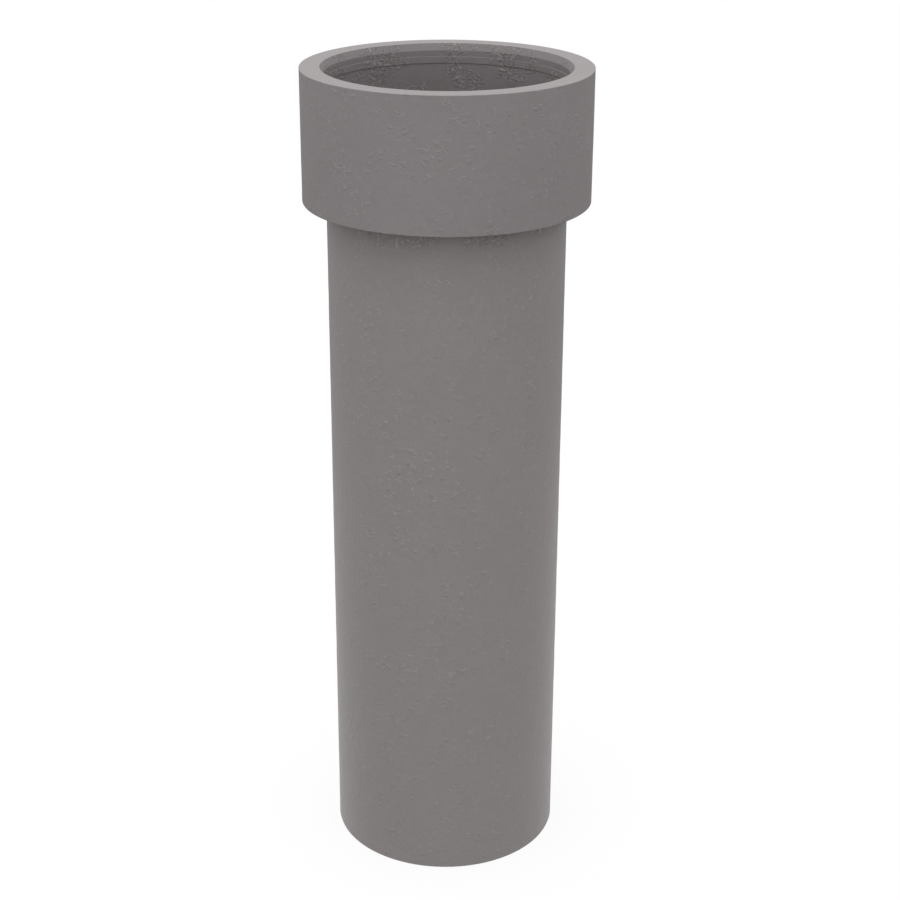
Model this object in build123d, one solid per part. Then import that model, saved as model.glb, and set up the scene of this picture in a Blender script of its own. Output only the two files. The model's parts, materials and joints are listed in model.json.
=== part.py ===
"""Insulated ventilation duct: a moulded foam pipe standing on end, with a push-fit sleeve on its top.

The pipe is a plain thick-walled tube. The sleeve is a shorter tube of the same foam, with a socket
at each end and a ridge between them that stops the pipes. Its lower socket holds the pipe's top end,
and its upper socket is open for the next pipe.

Millimetres. The origin is at the centre of the pipe's foot, and +Z runs up the duct's axis.
"""
from build123d import *
import os

# Pipe
bore_diameter = 125.0
pipe_wall = 15.0
pipe_length = 500.0

# Sleeve: socket_depth is how far a pipe slides in, from the sleeve's rim to its stop
sleeve_wall = 15.0
socket_depth = 40.0
stop_thickness = 5.0

# Fit between a pipe and its socket: the guide band steers the pipe's end, only the sealing
# bead's crest touches it, and the wall beyond the bead stands clear
guide_clearance = 0.2
seal_clearance = 0.0
socket_clearance = 0.5
stop_clearance = 0.0

# Lead-in cone at each mouth of the sleeve
lead_in_depth = 4.6
lead_in_widening = 2.2

# Sealing bead around each socket, from bead_inset below the rim
bead_inset = 8.5
bead_width = 4.8

# Small bevel that stands for the mould's soft free edges
edge_bevel = 0.3

# Radii, each worked out from the piece that it has to fit
bore_radius = bore_diameter / 2
pipe_radius = bore_radius + pipe_wall
guide_radius = pipe_radius + guide_clearance
bead_radius = pipe_radius + seal_clearance
socket_radius = pipe_radius + socket_clearance
mouth_radius = guide_radius + lead_in_widening
sleeve_radius = socket_radius + sleeve_wall

# The bead rises from the guide band and drops to the socket's wall at 45 degrees
bead_rise = guide_radius - bead_radius
bead_drop = socket_radius - bead_radius

# Heights: the sleeve's lower stop face sits on the pipe's top end
stop_bottom = pipe_length + stop_clearance
sleeve_middle = stop_bottom + stop_thickness / 2
sleeve_top = stop_bottom + stop_thickness + socket_depth


def turned(outline, bevelled):
    """Revolve a closed outline of (radius, height) points around Z, with the named corners bevelled."""
    with BuildPart() as part:
        with BuildSketch(Plane.XZ) as section:
            with BuildLine():
                Polyline(*outline, close=True)
            make_face()
            corners = [v for v in section.vertices() if near_any(v, bevelled)]
            chamfer(corners, edge_bevel)
        revolve(axis=Axis.Z)
    return part.part


def near_any(vertex, points):
    """True where the section's vertex lies on one of the (radius, height) points."""
    return any(abs(vertex.X - r) + abs(vertex.Y - z) < 1e-6 for r, z in points)


def make_pipe():
    """The plain tube: square ends, with the edges of both ends lightly bevelled."""
    corners = [
        (bore_radius, 0),
        (pipe_radius, 0),
        (pipe_radius, pipe_length),
        (bore_radius, pipe_length),
    ]
    return turned(corners, corners)


def make_sleeve():
    """The push-fit sleeve: the outline of its upper half, and the same one mirrored below.

    The upper half runs from the bore up the socket: stop, clear wall, sealing bead, guide band,
    lead-in cone and rim.
    """
    stop_top = sleeve_top - socket_depth
    bead_top = sleeve_top - bead_inset
    bead_bottom = bead_top - bead_width
    rim_corners = [(mouth_radius, sleeve_top), (sleeve_radius, sleeve_top)]
    upper = [
        (bore_radius, stop_top),
        (socket_radius, stop_top),
        (socket_radius, bead_bottom),
        (bead_radius, bead_bottom + bead_drop),
        (bead_radius, bead_top - bead_rise),
        (guide_radius, bead_top),
        (guide_radius, sleeve_top - lead_in_depth),
        *rim_corners,
    ]
    return turned(upper + mirrored(upper)[::-1], rim_corners + mirrored(rim_corners))


def mirrored(points):
    """The same (radius, height) points, reflected across the sleeve's middle plane."""
    return [(r, 2 * sleeve_middle - z) for r, z in points]


os.makedirs("parts", exist_ok=True)
export_step(make_pipe(), "parts/duct_pipe.step")
export_step(make_sleeve(), "parts/coupling_sleeve.step")
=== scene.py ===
# %% [markdown]
# # An insulated ventilation duct
#
# The real thing is two mouldings of grey bead foam: a plain thick-walled pipe, and a short push-fit
# sleeve on its top that will hold the next pipe. Small foam beads are blown into a closed mould and
# steamed until they swell and weld together. The moulding is light and stiff, keeps the air's warmth
# in, and has a matt grey skin with a few marks of its beads.
#
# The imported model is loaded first. Everything below is in metres, in its frame.

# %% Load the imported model
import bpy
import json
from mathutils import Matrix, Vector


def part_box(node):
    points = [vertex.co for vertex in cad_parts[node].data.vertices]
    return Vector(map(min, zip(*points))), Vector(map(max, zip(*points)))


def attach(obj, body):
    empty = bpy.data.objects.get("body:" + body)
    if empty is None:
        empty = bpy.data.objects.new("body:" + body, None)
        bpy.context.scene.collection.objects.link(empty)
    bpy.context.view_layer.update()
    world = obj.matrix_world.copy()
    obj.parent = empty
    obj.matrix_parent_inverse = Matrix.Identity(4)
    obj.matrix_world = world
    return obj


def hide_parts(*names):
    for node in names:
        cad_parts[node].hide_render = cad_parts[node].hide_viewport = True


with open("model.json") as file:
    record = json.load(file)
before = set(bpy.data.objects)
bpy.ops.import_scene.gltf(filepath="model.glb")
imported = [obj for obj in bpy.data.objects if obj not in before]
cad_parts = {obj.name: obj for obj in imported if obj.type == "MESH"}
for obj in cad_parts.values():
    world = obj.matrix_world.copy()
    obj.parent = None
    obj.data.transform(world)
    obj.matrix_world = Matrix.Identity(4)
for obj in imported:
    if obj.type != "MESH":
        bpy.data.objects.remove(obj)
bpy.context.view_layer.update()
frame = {"record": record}

import json
import math

import bpy
import numpy as np
from mathutils import Matrix, Vector

# %% [markdown]
# ## The camera comes first
#
# The photo was taken from a little above the rim, from just over a metre away. The numbers were
# fitted to the photo's outlines: the two straight sides of each moulding and the four ellipses of
# the rim, the mouth, the sleeve's lower edge and the foot. A camera placed by its distance, height
# and tilt is easy to read, so the three turns are written as angles.

# %% The camera
PHOTO_WIDTH = 900          # pixels
FOCAL_LENGTH = 1840.0      # pixels
SENSOR_WIDTH = 36.0        # millimetres
CAMERA_DISTANCE = 1.1583   # from the duct's axis, metres
CAMERA_HEIGHT = 0.7619
CAMERA_TILT = math.radians(22.41)   # down
CAMERA_PAN = math.radians(0.131)    # to the right
CAMERA_ROLL = math.radians(0.206)   # the picture's right side goes up


def camera_axes(tilt, pan, roll):
    """Right, up and forward: forward is (sin pan cos tilt, cos pan cos tilt, -sin tilt), right is level and
    square to it, up is square to both, and right and up are then turned about forward by roll."""
    forward = Vector((math.sin(pan) * math.cos(tilt), math.cos(pan) * math.cos(tilt), -math.sin(tilt)))
    level = forward.cross(Vector((0, 0, 1))).normalized()
    above = level.cross(forward)
    right = level * math.cos(roll) + above * math.sin(roll)
    up = above * math.cos(roll) - level * math.sin(roll)
    return right, up, forward


def make_camera():
    """A camera looks along its own -Z with +Y up, so its matrix has the columns right, up and -forward."""
    data = bpy.data.cameras.new("photo_camera")
    data.sensor_width = SENSOR_WIDTH
    data.lens = FOCAL_LENGTH * SENSOR_WIDTH / PHOTO_WIDTH
    camera = bpy.data.objects.new("photo_camera", data)
    bpy.context.scene.collection.objects.link(camera)
    right, up, forward = camera_axes(CAMERA_TILT, CAMERA_PAN, CAMERA_ROLL)
    turn = Matrix((right, up, -forward)).transposed().to_4x4()
    camera.matrix_world = Matrix.Translation((0, -CAMERA_DISTANCE, CAMERA_HEIGHT)) @ turn
    bpy.context.scene.camera = camera
    return camera


camera = make_camera()
print("lens:", round(camera.data.lens, 2), "mm")

# %% [markdown]
# ## Sizes, read from the model
#
# The outside sizes come from the two nodes' boxes and the bores from the record's mounts. Only the
# small mould details have their own numbers here, the same as in the model.

# %% Sizes
MM = 0.001
mounts = {mount["name"]: mount for mount in frame["record"]["mounts"]}
_, pipe_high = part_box("duct_pipe")
sleeve_low, sleeve_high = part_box("coupling_sleeve")

bore_radius = mounts["duct_bore"]["dims"]["r_mm"] * MM
bead_radius = mounts["top_socket"]["dims"]["r_mm"] * MM
pipe_radius = bead_radius
pipe_length = pipe_high[2]
sleeve_bottom, sleeve_top = sleeve_low[2], sleeve_high[2]
sleeve_middle = (sleeve_bottom + sleeve_top) / 2

LEAD_IN_DEPTH = 4.6 * MM
LEAD_IN_WIDENING = 2.2 * MM
BEAD_INSET = 8.5 * MM
BEAD_WIDTH = 4.8 * MM
BEAD_RISE = 0.2 * MM       # from the guide band above it
BEAD_DROP = 0.5 * MM       # to the socket's wall below it
SLEEVE_WALL = 15.0 * MM
guide_radius = bead_radius + BEAD_RISE
socket_radius = bead_radius + BEAD_DROP
socket_depth = mounts["top_socket"]["dims"]["length_mm"] * MM + LEAD_IN_DEPTH
mouth_radius = guide_radius + LEAD_IN_WIDENING
sleeve_radius = socket_radius + SLEEVE_WALL

print("pipe radius", pipe_radius, "length", round(pipe_length, 4), "sleeve radius", round(sleeve_radius, 4))

# %% [markdown]
# ## A turned form with soft edges
#
# Both mouldings are outlines turned about the vertical axis. A real mould leaves no razor edge, so
# every corner of the outline becomes a small arc. Smooth shading averages the normals of the faces
# that meet at a vertex, so a narrow strip is kept beside each arc: the long flat run next to it
# then stays flat in the light instead of looking puffed.

# %% Round the corners of an outline
ARC_STEPS = 6
STRIP = 0.5 * MM


def rounded(corners, radii):
    """Replace each corner of a closed outline by an arc. With a and b the unit vectors to the neighbours and
    h half the angle between them, the arc touches the runs at radius / tan h, and its centre lies on the
    bisector at radius / sin h. Its points are centre + (sin((1-s)w) v0 + sin(s w) v1) / sin w, where v0 and
    v1 lead to its ends, w = pi - 2h is its sweep, and s goes from 0 to 1. A strip point is added on each
    side of it."""
    corner = np.array(corners, float)
    radius = np.array(radii, float)
    back, ahead = np.roll(corner, 1, 0) - corner, np.roll(corner, -1, 0) - corner
    back_length, ahead_length = np.linalg.norm(back, axis=1), np.linalg.norm(ahead, axis=1)
    a, b = back / back_length[:, None], ahead / ahead_length[:, None]
    half = np.arccos(np.clip((a * b).sum(1), -1, 1)) / 2
    touch = radius / np.tan(half)
    bisector = (a + b) / np.linalg.norm(a + b, axis=1)[:, None]
    centre = corner + bisector * (radius / np.sin(half))[:, None]
    v0, v1 = corner + a * touch[:, None] - centre, corner + b * touch[:, None] - centre
    sweep = (math.pi - 2 * half)[:, None, None]
    s = np.linspace(0, 1, ARC_STEPS + 1)[None, :, None]
    arc = (np.sin((1 - s) * sweep) * v0[:, None] + np.sin(s * sweep) * v1[:, None]) / np.sin(sweep)
    free = ahead_length - touch - np.roll(touch, -1)
    strip = np.minimum(STRIP, free / 4)
    before = corner + a * (touch + np.roll(strip, 1))[:, None]
    after = corner + b * (touch + strip)[:, None]
    whole = np.concatenate([before[:, None], centre[:, None] + arc, after[:, None]], axis=1)
    return whole.reshape(-1, 2)


def divided(outline, step):
    """Add evenly spaced points to a closed outline so that no run is longer than step: run i, from p to q, is
    cut in n = ceil(length / step), and its point k is p + (q - p) k / n."""
    ahead = np.roll(outline, -1, 0) - outline
    count = np.maximum(np.ceil(np.linalg.norm(ahead, axis=1) / step), 1).astype(int)
    run = np.repeat(np.arange(len(outline)), count)
    k = np.arange(count.sum()) - np.repeat(np.cumsum(count) - count, count)
    return outline[run] + ahead[run] * (k / count[run])[:, None]


# %% [markdown]
# ## The mould's slight unevenness
#
# Foam shrinks a little as it cools, and never quite evenly, so a long wall isn't a perfect mirror
# of its mould. A few low waves, each with a whole number of turns around the duct so that they
# close on themselves, sink the skin by under a tenth of a millimetre. They only sink it: the
# moulding never grows past the size of its mould.

# %% Turn an outline into a mesh
AROUND = 256
RUN_STEP = 4 * MM
SINK = 0.08 * MM
WAVES = 24
WAVE_TURNS = (5, 26)       # from, and up to but not with
WAVE_CLIMB = (40, 320)     # radians a metre of height


def waves(angle, height, seed):
    """A smooth field between 0 and 1: the mean of cosines cos(m angle + k height + phase), with m a whole
    number of turns and k in radians a metre, scaled by its spread and squeezed by (1 + tanh) / 2."""
    rng = np.random.default_rng(seed)
    m = rng.integers(*WAVE_TURNS, WAVES)[:, None, None]
    k = rng.uniform(*WAVE_CLIMB, WAVES)[:, None, None] * rng.choice([-1, 1], WAVES)[:, None, None]
    phase = rng.uniform(0, 2 * math.pi, WAVES)[:, None, None]
    field = np.cos(m * angle[None, None, :] + k * height[None, :, None] + phase).mean(0)
    return (1 + np.tanh(field / field.std())) / 2


def turned(name, outline, seed):
    """Revolve a closed outline of (radius, height) points, listed so that the solid is on its left: vertex
    (i, j) is (r cos t, r sin t, z) with t = 2 pi j / AROUND, less the sink along the radius where the
    outline faces sideways. Its faces join i to i + 1 and j to j + 1, both around a closed ring."""
    angle = np.arange(AROUND) * 2 * math.pi / AROUND
    along = np.roll(outline, -1, 0) - np.roll(outline, 1, 0)
    outward = along[:, 1] / np.linalg.norm(along, axis=1)
    sink = SINK * outward[:, None] * waves(angle, outline[:, 1], seed)
    radius = outline[:, :1] - sink
    height = np.broadcast_to(outline[:, 1:], radius.shape)
    points = np.stack([radius * np.cos(angle), radius * np.sin(angle), height], -1).reshape(-1, 3)

    i, j = np.meshgrid(np.arange(len(outline)), np.arange(AROUND), indexing="ij")
    i_next, j_next = (i + 1) % len(outline), (j + 1) % AROUND
    corners = [(i, j), (i, j_next), (i_next, j_next), (i_next, j)]
    faces = np.stack([row * AROUND + column for row, column in corners], -1).reshape(-1, 4)

    mesh = bpy.data.meshes.new(name)
    mesh.vertices.add(len(points))
    mesh.vertices.foreach_set("co", points.astype(np.float32).ravel())
    mesh.loops.add(faces.size)
    mesh.loops.foreach_set("vertex_index", faces.astype(np.int32).ravel())
    mesh.polygons.add(len(faces))
    mesh.polygons.foreach_set("loop_start", np.arange(0, faces.size, 4, dtype=np.int32))
    mesh.update(calc_edges=True)
    mesh.validate()
    mesh.shade_smooth()
    piece = bpy.data.objects.new(name, mesh)
    bpy.context.scene.collection.objects.link(piece)
    print(name, "triangles:", 2 * len(faces), "outline points:", len(outline))
    return piece


# %% [markdown]
# ## The pipe
#
# A plain tube with square ends. Its outline is a rectangle, walked so that the foam is on the left.

# %% The pipe
END_EDGE = 0.3 * MM

pipe_corners = [
    (bore_radius, 0),
    (pipe_radius, 0),
    (pipe_radius, pipe_length),
    (bore_radius, pipe_length),
]
pipe = turned("pipe_skin", divided(rounded(pipe_corners, [END_EDGE] * 4), RUN_STEP), seed=3)
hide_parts("duct_pipe")
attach(pipe, "root")

# %% [markdown]
# ## The sleeve
#
# The upper socket shows in the photo: a lead-in cone that centres the pipe, a short guide band, a
# low bead that seals against the pipe, and a wall that stands clear of it. The ridge that stops the
# pipe lies deeper. The lower socket is the same outline mirrored, so only the upper half is written
# out.

# %% The sleeve
RIM_EDGE = 0.3 * MM
FINE_EDGE = 0.1 * MM
STOP_EDGE = 0.3 * MM

stop_top = sleeve_top - socket_depth
bead_top = sleeve_top - BEAD_INSET
bead_bottom = bead_top - BEAD_WIDTH
upper_half = [
    (sleeve_radius, sleeve_top, RIM_EDGE),
    (mouth_radius, sleeve_top, RIM_EDGE),
    (guide_radius, sleeve_top - LEAD_IN_DEPTH, FINE_EDGE),
    (guide_radius, bead_top, FINE_EDGE),
    (bead_radius, bead_top - BEAD_RISE, FINE_EDGE),
    (bead_radius, bead_bottom + BEAD_DROP, FINE_EDGE),
    (socket_radius, bead_bottom, FINE_EDGE),
    (socket_radius, stop_top, STOP_EDGE),
    (bore_radius, stop_top, STOP_EDGE),
]
lower_half = [(radius, 2 * sleeve_middle - z, edge) for radius, z, edge in reversed(upper_half)]
sleeve_outline = np.array(upper_half + lower_half)
sleeve_curve = divided(rounded(sleeve_outline[:, :2], sleeve_outline[:, 2]), RUN_STEP)
sleeve = turned("sleeve_skin", sleeve_curve, seed=8)
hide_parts("coupling_sleeve")
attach(sleeve, "root")

# %% [markdown]
# ## Shader arithmetic
#
# A material's pattern is a formula, so it is written as one. A Wire is a node's output that can be
# added, subtracted and multiplied in Python, and each operator adds the Math node that does it. Any
# other node comes from Paint.node.

# %% Wires and paints
class Wire:
    """A shader value that stands in a formula. Each operator adds one Math node to its paint."""

    def __init__(self, paint, socket):
        self.paint, self.socket = paint, socket

    def math(self, operation, *values):
        return self.paint.node("ShaderNodeMath", {"operation": operation}, dict(enumerate(values)))

    def __add__(self, other):
        return self.math("ADD", self, other)

    def __radd__(self, other):
        return self.math("ADD", other, self)

    def __sub__(self, other):
        return self.math("SUBTRACT", self, other)

    def __rsub__(self, other):
        return self.math("SUBTRACT", other, self)

    def __mul__(self, other):
        return self.math("MULTIPLY", self, other)

    def __rmul__(self, other):
        return self.math("MULTIPLY", other, self)

    def or_more(self, other):
        """The larger of the two."""
        return self.math("MAXIMUM", self, other)


class Paint:
    """The node tree of a material or of the world, emptied and ready to be built."""

    def __init__(self, owner):
        owner.use_nodes = True
        self.owner = owner
        self.tree = owner.node_tree
        self.tree.nodes.clear()

    def node(self, kind, settings=None, inputs=None, output=0):
        """Add a node: its settings first, then its inputs, each a number, a vector or a Wire. Returns the
        output asked for, as a Wire."""
        made = self.tree.nodes.new(kind)
        for name, value in (settings or {}).items():
            setattr(made, name, value)
        for key, value in (inputs or {}).items():
            if isinstance(value, Wire):
                self.tree.links.new(value.socket, made.inputs[key])
            else:
                made.inputs[key].default_value = value
        return Wire(self, made.outputs[output]) if made.outputs else None

    def ramp(self, value, start, end, low=0.0, high=1.0):
        """Smoothstep: low where value is at start, high where it is at end, with level ends between."""
        settings = {"interpolation_type": "SMOOTHSTEP", "clamp": True}
        inputs = {"Value": value, "From Min": start, "From Max": end, "To Min": low, "To Max": high}
        return self.node("ShaderNodeMapRange", settings, inputs)


# %% [markdown]
# ## Moulded bead foam
#
# Small beads are steamed in a closed mould until they swell, and against its smooth wall they melt
# into one matt skin that is nearly one grey. Here and there the skin still shows the beads: a short
# pale seam where two of them met, or a bead that stands slightly proud. Such marks come in patches
# a few centimetres wide. The faces that the mould's core made, in the bore and the socket, are
# painted darker, as painted shade for the little light that gets into them, and have clusters of
# small specks. So has the pipe, in a band just below the sleeve. The specks are painted glints and
# painted shadows of small pits, over a real bump.
#
# A Voronoi pattern is a good model of packed beads. Its cells are the beads, its distance to the
# edge finds the seams, and its random colour tells one bead from the next. It is read in 3-D from
# the piece's own coordinates in metres, so the marks have their real size and the pattern has no
# join. They are a tenth of a millimetre high, which is too fine for the mesh, so they go into a
# Bump node, and a little into the colour. A seam is paler partly because rubbed and stretched foam
# is paler, and partly as a painted highlight for the glint on a bead's edge.

# %% The foam's marks
# Pitches
BEAD_PITCH = 3.0 * MM
SEAM_PITCH = 3.6 * MM      # of the noise that breaks the seams into short pieces
GRAIN_PITCH = 1.6 * MM
SPECK_PITCH = 1.7 * MM
PATCH_PITCH = 18 * MM
CLOUD_PITCH = 60 * MM      # of the slow changes of tone
BEND = 0.5 * MM            # how far a seam strays from a straight line

# Heights, in millimetres, before a batch's relief scales them
PROUD_RISE = 0.16
SEAM_RISE = 0.15
GRAIN_RISE = 0.04
SPECK_RISE = 0.32

# Shares of the tone: how much paler a seam is, partly as a painted highlight, how strong the specks' painted
# glints and pit shadows are, and how far beads and clouds vary
SEAM_PALE_AND_PAINTED_GLINT = 0.20
SPECK_PAINTED_GLINT_AND_SHADOW = 0.36
BEAD_TONE = 0.04
CLOUD_TONE = 0.08
BEAD_GLOSS = 0.06          # how far the roughness varies

# The core's side with its painted shade, and the band of specks below the sleeve
CORE_RELIEF = 0.5          # how much higher the marks are on the core's side
# Painted shade: the core's side is darkened for the little light that reaches into the bore and the socket.
CORE_PAINTED_SHADE = 0.23           # how much darker it is
CORE_BLEND = 0.4 * MM      # over which one skin turns into the other
# The band of specks below the sleeve, with their painted glints and pit shadows: how far down it reaches, and
# over what height it fades in.
SPECK_BAND_REACH = 17 * MM      # how far the scuffed skin shows below the sleeve
SPECK_BAND_BLEND = 9 * MM

print("a bead is", round(BEAD_PITCH / MM, 1), "mm across; a patch,", round(PATCH_PITCH / MM), "mm")


# %% The foam material
def foam(name, tone, relief, roughness, core_radius, speck_band_from, shift):
    """Grey bead foam. tone is the mean colour, and relief scales the height of the marks. The faces within
    core_radius of the axis were moulded on the core and are painted darker as shade, and the skin has
    specks from the height speck_band_from upwards. shift moves the pattern so that pieces differ."""
    paint = Paint(bpy.data.materials.new(name))
    here = paint.node("ShaderNodeTexCoord", output="Object")
    place = paint.node("ShaderNodeVectorMath", {"operation": "ADD"}, {0: here, 1: shift})
    flat = paint.node("ShaderNodeVectorMath", {"operation": "MULTIPLY"}, {0: here, 1: (1, 1, 0)})
    radius = paint.node("ShaderNodeVectorMath", {"operation": "LENGTH"}, {0: flat}, "Value")
    height = paint.node("ShaderNodeSeparateXYZ", {}, {0: here}, "Z")
    core = paint.ramp(radius, core_radius + CORE_BLEND, core_radius)
    speck_band = paint.ramp(height, speck_band_from, speck_band_from + SPECK_BAND_BLEND)

    def noise(pitch, detail, output=0):
        inputs = {"Vector": place, "Scale": 1 / pitch, "Detail": detail}
        return paint.node("ShaderNodeTexNoise", {}, inputs, output)

    # Bead outlines aren't straight, so the place is pushed about by up to BEND before it is read.
    push = noise(2 * BEAD_PITCH, 1.0, "Color")
    push = paint.node("ShaderNodeVectorMath", {"operation": "SUBTRACT"}, {0: push, 1: (0.5, 0.5, 0.5)})
    push = paint.node("ShaderNodeVectorMath", {"operation": "SCALE"}, {0: push, "Scale": 2 * BEND})
    bent = paint.node("ShaderNodeVectorMath", {"operation": "ADD"}, {0: place, 1: push})

    beads = {"Vector": bent, "Scale": 1 / BEAD_PITCH}
    to_edge = paint.node("ShaderNodeTexVoronoi", {"feature": "DISTANCE_TO_EDGE"}, beads)
    lot = paint.node("ShaderNodeTexVoronoi", {"feature": "F1"}, beads, "Color")
    dye = paint.node("ShaderNodeSeparateColor", {}, {0: lot}, "Red")
    swell = paint.node("ShaderNodeSeparateColor", {}, {0: lot}, "Green")

    # kept is low where the beads melted into one skin, and about 1 where they still show. A seam is a
    # short stretch of a bead's edge, and about one bead in eight stands proud. to_edge counts in bead
    # pitches.
    patches = noise(PATCH_PITCH, 3.0)
    kept = paint.ramp(patches, 0.40, 0.64, 0.30, 1.1)
    broken = paint.ramp(noise(SEAM_PITCH, 2.0), 0.57, 0.65)
    seam = paint.ramp(to_edge, 0.15, 0.0) * broken * kept
    proud = paint.ramp(to_edge, 0.0, 0.20) * paint.ramp(swell, 0.80, 0.95) * kept
    grain = noise(GRAIN_PITCH, 2.0) * kept

    # Specks are pale, a painted glint, where the noise is high, and darker but less so, a painted pit shadow,
    # where it is low, and absent between. They are a bump too.
    fleck = noise(SPECK_PITCH, 2.0)
    speck_area = core.or_more(speck_band) * paint.ramp(patches, 0.43, 0.55)
    speck = (paint.ramp(fleck, 0.54, 0.60) - paint.ramp(fleck, 0.42, 0.36, 0.0, 0.45)) * speck_area

    # The Bump node's height is in millimetres here, which is what its distance makes of it.
    rise = PROUD_RISE * proud + SEAM_RISE * seam + GRAIN_RISE * grain
    rise = rise * (1 + CORE_RELIEF * core) + SPECK_RISE * speck
    normal = paint.node("ShaderNodeBump", {}, {"Distance": relief * MM, "Height": rise}, "Normal")

    shade = 1 - BEAD_TONE * (1 - dye) + CLOUD_TONE * (noise(CLOUD_PITCH, 3.0) - 0.5)
    # Painted light in the colour: a seam's paleness is partly a painted highlight, the specks are painted
    # glints and pit shadows, and the core's side gets painted shade.
    shade = shade * (1 + SEAM_PALE_AND_PAINTED_GLINT * seam + SPECK_PAINTED_GLINT_AND_SHADOW * speck) * (1 - CORE_PAINTED_SHADE * core)
    colour = paint.node("ShaderNodeVectorMath", {"operation": "SCALE"}, {0: tone, "Scale": shade})
    rough = roughness + BEAD_GLOSS * (dye - 0.5 + seam)

    surface = {"Base Color": colour, "Roughness": rough, "Normal": normal, "IOR": 1.40}
    surface = paint.node("ShaderNodeBsdfPrincipled", {}, surface)
    paint.node("ShaderNodeOutputMaterial", {}, {"Surface": surface})
    print(name, "nodes:", len(paint.tree.nodes))
    return paint.owner


# %% Two batches of foam
# The sleeve is a little darker and duller than the pipe, and its band of specks begins at its top, so it
# shows none.
PIPE_GREY = (0.304, 0.278, 0.278)
SLEEVE_GREY = (0.276, 0.253, 0.256)
speck_band_from = sleeve_bottom - SPECK_BAND_REACH
pipe_foam = foam("pipe_foam_skin", PIPE_GREY, 1.1, 0.36, bore_radius, speck_band_from, (0.31, 0.17, 0.05))
sleeve_foam = foam("sleeve_foam_skin", SLEEVE_GREY, 1.0, 0.58, mouth_radius, sleeve_top, (1.73, 0.62, 0.41))
pipe.data.materials.append(pipe_foam)
sleeve.data.materials.append(sleeve_foam)

# %% [markdown]
# ## Floor, background and light
#
# The photo is a product picture on plain white, lit softly from above. Light Path tells a material
# which kind of ray has reached it, so the same floor can do two things. Seen directly it is white
# paper that keeps a faint contact shadow. To the light that bounces about it is a much darker
# table, so the underside of the sleeve stays in shade as it does in the photo. The foam's own
# shine shows the white paper, brightest close to the foot.
#
# An even sky gives nearly all the light. A broad softbox overhead adds a little to what faces up,
# and a weak fill from near the camera, slightly to its left, lifts the front.

# %% The floor
FLOOR_REACH = 8.0
PAPER_SEEN = 0.93          # how pale the paper looks
PAPER_BOUNCE = 0.06        # how much of the light it gives back to the duct
WHITE_SEEN = 0.88          # share of plain white in what the camera sees
SHINE_NEAR, SHINE_FAR = 0.15, 1.1    # metres from the duct, between which its shine in the foam fades
SHINE_FULL, SHINE_LEFT = 0.75, 0.34  # from this much to this much


def ray_is(paint, *ways):
    """1 for rays of these kinds, such as Is Camera Ray, and 0 for all others: the largest of their flags."""
    flags = [paint.node("ShaderNodeLightPath", output=way) for way in ways]
    total = flags[0]
    for flag in flags[1:]:
        total = total.or_more(flag)
    return total


def make_floor():
    """A plane at height 0. Its shader is paper times (1 - share) plus white times share."""
    mesh = bpy.data.meshes.new("floor")
    corners = [(-FLOOR_REACH, -FLOOR_REACH, 0), (FLOOR_REACH, -FLOOR_REACH, 0),
               (FLOOR_REACH, FLOOR_REACH, 0), (-FLOOR_REACH, FLOOR_REACH, 0)]
    mesh.from_pydata(corners, [], [(0, 1, 2, 3)])
    plane = bpy.data.objects.new("floor", mesh)
    bpy.context.scene.collection.objects.link(plane)

    paint = Paint(bpy.data.materials.new("floor_paper"))
    seen = ray_is(paint, "Is Camera Ray", "Is Transmission Ray")
    mirrored = ray_is(paint, "Is Glossy Ray")
    place = paint.node("ShaderNodeTexCoord", output="Object")
    away = paint.node("ShaderNodeVectorMath", {"operation": "LENGTH"}, {0: place}, "Value")
    shine = paint.ramp(away, SHINE_NEAR, SHINE_FAR, SHINE_FULL, SHINE_LEFT)
    tone = PAPER_BOUNCE + (PAPER_SEEN - PAPER_BOUNCE) * seen
    tone = paint.node("ShaderNodeCombineColor", {}, {"Red": tone, "Green": tone, "Blue": tone})
    paper = paint.node("ShaderNodeBsdfDiffuse", {}, {"Color": tone})
    white = paint.node("ShaderNodeEmission", {}, {"Color": (1, 1, 1, 1), "Strength": 1.0})
    share = seen * WHITE_SEEN + mirrored * shine
    both = paint.node("ShaderNodeMixShader", {}, {0: share, 1: paper, 2: white})
    paint.node("ShaderNodeOutputMaterial", {}, {"Surface": both})
    mesh.materials.append(paint.owner)
    print("floor:", 2 * FLOOR_REACH, "m square")


make_floor()

# %% The sky and the lamps
SKY_STRENGTH = 1.08


def make_world():
    """An even sky: SKY_STRENGTH for the rays that light the duct, and 1, plain white, where it is seen."""
    paint = Paint(bpy.data.worlds.new("white_studio"))
    bpy.context.scene.world = paint.owner
    seen = ray_is(paint, "Is Camera Ray", "Is Glossy Ray", "Is Transmission Ray")
    strength = SKY_STRENGTH + (1 - SKY_STRENGTH) * seen
    sky = paint.node("ShaderNodeBackground", {}, {"Color": (1, 1, 1, 1), "Strength": strength})
    paint.node("ShaderNodeOutputWorld", {}, {"Surface": sky})
    print("sky strength:", SKY_STRENGTH)


def make_lamp(name, place, aim, size, power):
    """A broad square lamp at place that faces the point aim. An area lamp shines along its own -Z."""
    data = bpy.data.lights.new(name, "AREA")
    data.shape = "SQUARE"
    data.size = size
    data.energy = power
    lamp = bpy.data.objects.new(name, data)
    lamp.location = place
    lamp.rotation_euler = (Vector(place) - Vector(aim)).to_track_quat("Z", "Y").to_euler()
    bpy.context.scene.collection.objects.link(lamp)
    print(name, "size:", size, "m, power:", power, "W")


make_world()
make_lamp("overhead_softbox", place=(-0.3, -0.4, 2.6), aim=(0, 0, 0.5), size=2.4, power=13.5)
make_lamp("front_fill", place=(-0.5, -3.0, 0.25), aim=(0, 0, 0.25), size=1.6, power=7.5)
bpy.context.scene.view_settings.view_transform = "Standard"
